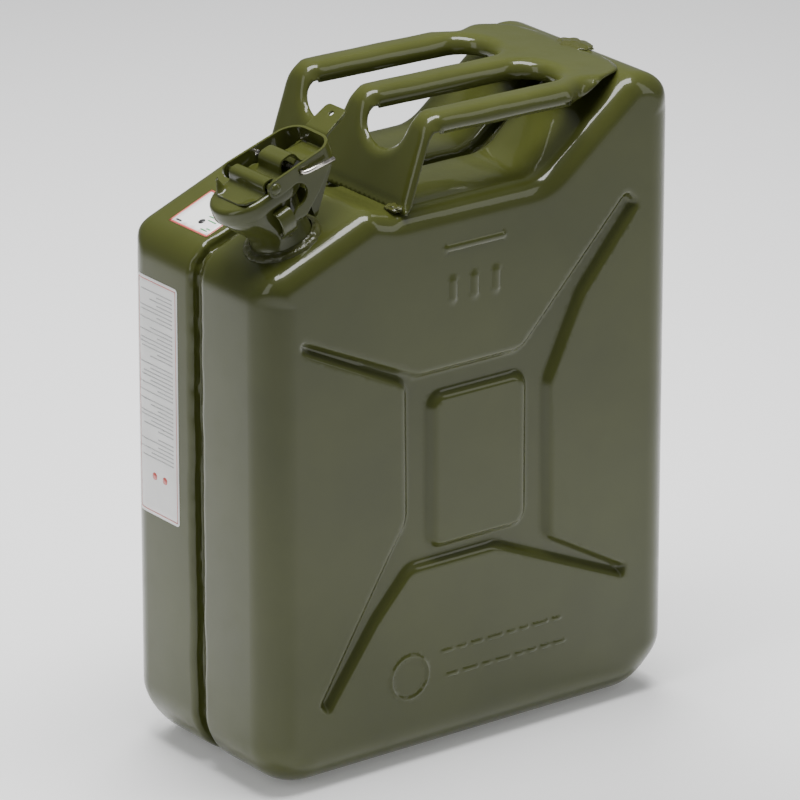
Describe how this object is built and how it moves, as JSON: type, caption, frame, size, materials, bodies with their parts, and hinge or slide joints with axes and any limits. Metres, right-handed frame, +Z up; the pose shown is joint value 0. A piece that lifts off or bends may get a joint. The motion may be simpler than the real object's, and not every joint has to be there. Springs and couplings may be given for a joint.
{
  "type": "jerry can",
  "caption": "Pressed-steel fuel can with a three-bar carrying handle, a sloped spout platform and a lever-locked hinged lid held by a safety pin.",
  "frame": {"origin": "centre of the bounding box at floor level", "axes": "+Z up; +X along the can from the spout end to the rear; Y across its width, with the seam on y = 0 and the spout on the -Y half"},
  "size_m": [0.3568, 0.165, 0.4586],
  "materials": {
    "olive_paint": "gloss olive-green enamel",
    "weld_paint": "gloss olive-green enamel over rough weld beads",
    "bare_steel": "bright bare steel wire and pins",
    "gasket_rubber": "black fuel-resistant rubber",
    "label_film": "white printed film label"
  },
  "bodies": {
    "can": {"shell_right": "olive_paint", "shell_left": "olive_paint", "seam_weld": "weld_paint", "handle_bridge": "olive_paint", "handle_weld_front_right": "weld_paint", "handle_weld_front_left": "weld_paint", "handle_weld_rear": "weld_paint", "filler_neck": "olive_paint", "neck_base_ring": "weld_paint", "breather_tube": "bare_steel", "lug_right": "olive_paint", "lug_left": "olive_paint", "hinge_bracket": "olive_paint", "hinge_pin": "bare_steel", "front_label": "label_film", "top_label": "label_film"},
    "lid": {"lid": "olive_paint", "lid_gasket": "gasket_rubber", "lid_strap": "olive_paint", "lever_axle": "olive_paint"},
    "lever": {"lever": "olive_paint"},
    "safety_pin": {"safety_pin": "bare_steel"}
  },
  "joints": [
    {"name": "lid_hinge", "type": "hinge", "parent": "can", "child": "lid", "pos_m": [-0.10107, -0.043, 0.43857], "axis": [0, 1, 0], "range_deg": [0, 90]},
    {"name": "lever_pivot", "type": "hinge", "parent": "lid", "child": "lever", "pos_m": [-0.14886, -0.043, 0.42975], "axis": [0, -1, 0], "range_deg": [0, 153]},
    {"name": "safety_pin_slide", "type": "slide", "parent": "lever", "child": "safety_pin", "axis": [0, -1, 0], "range_m": [0, 0.055]}
  ],
  "couplings": [
    {"joint": "lever_pivot", "follows": "lid_hinge", "ratio": 1.7}
  ]
}
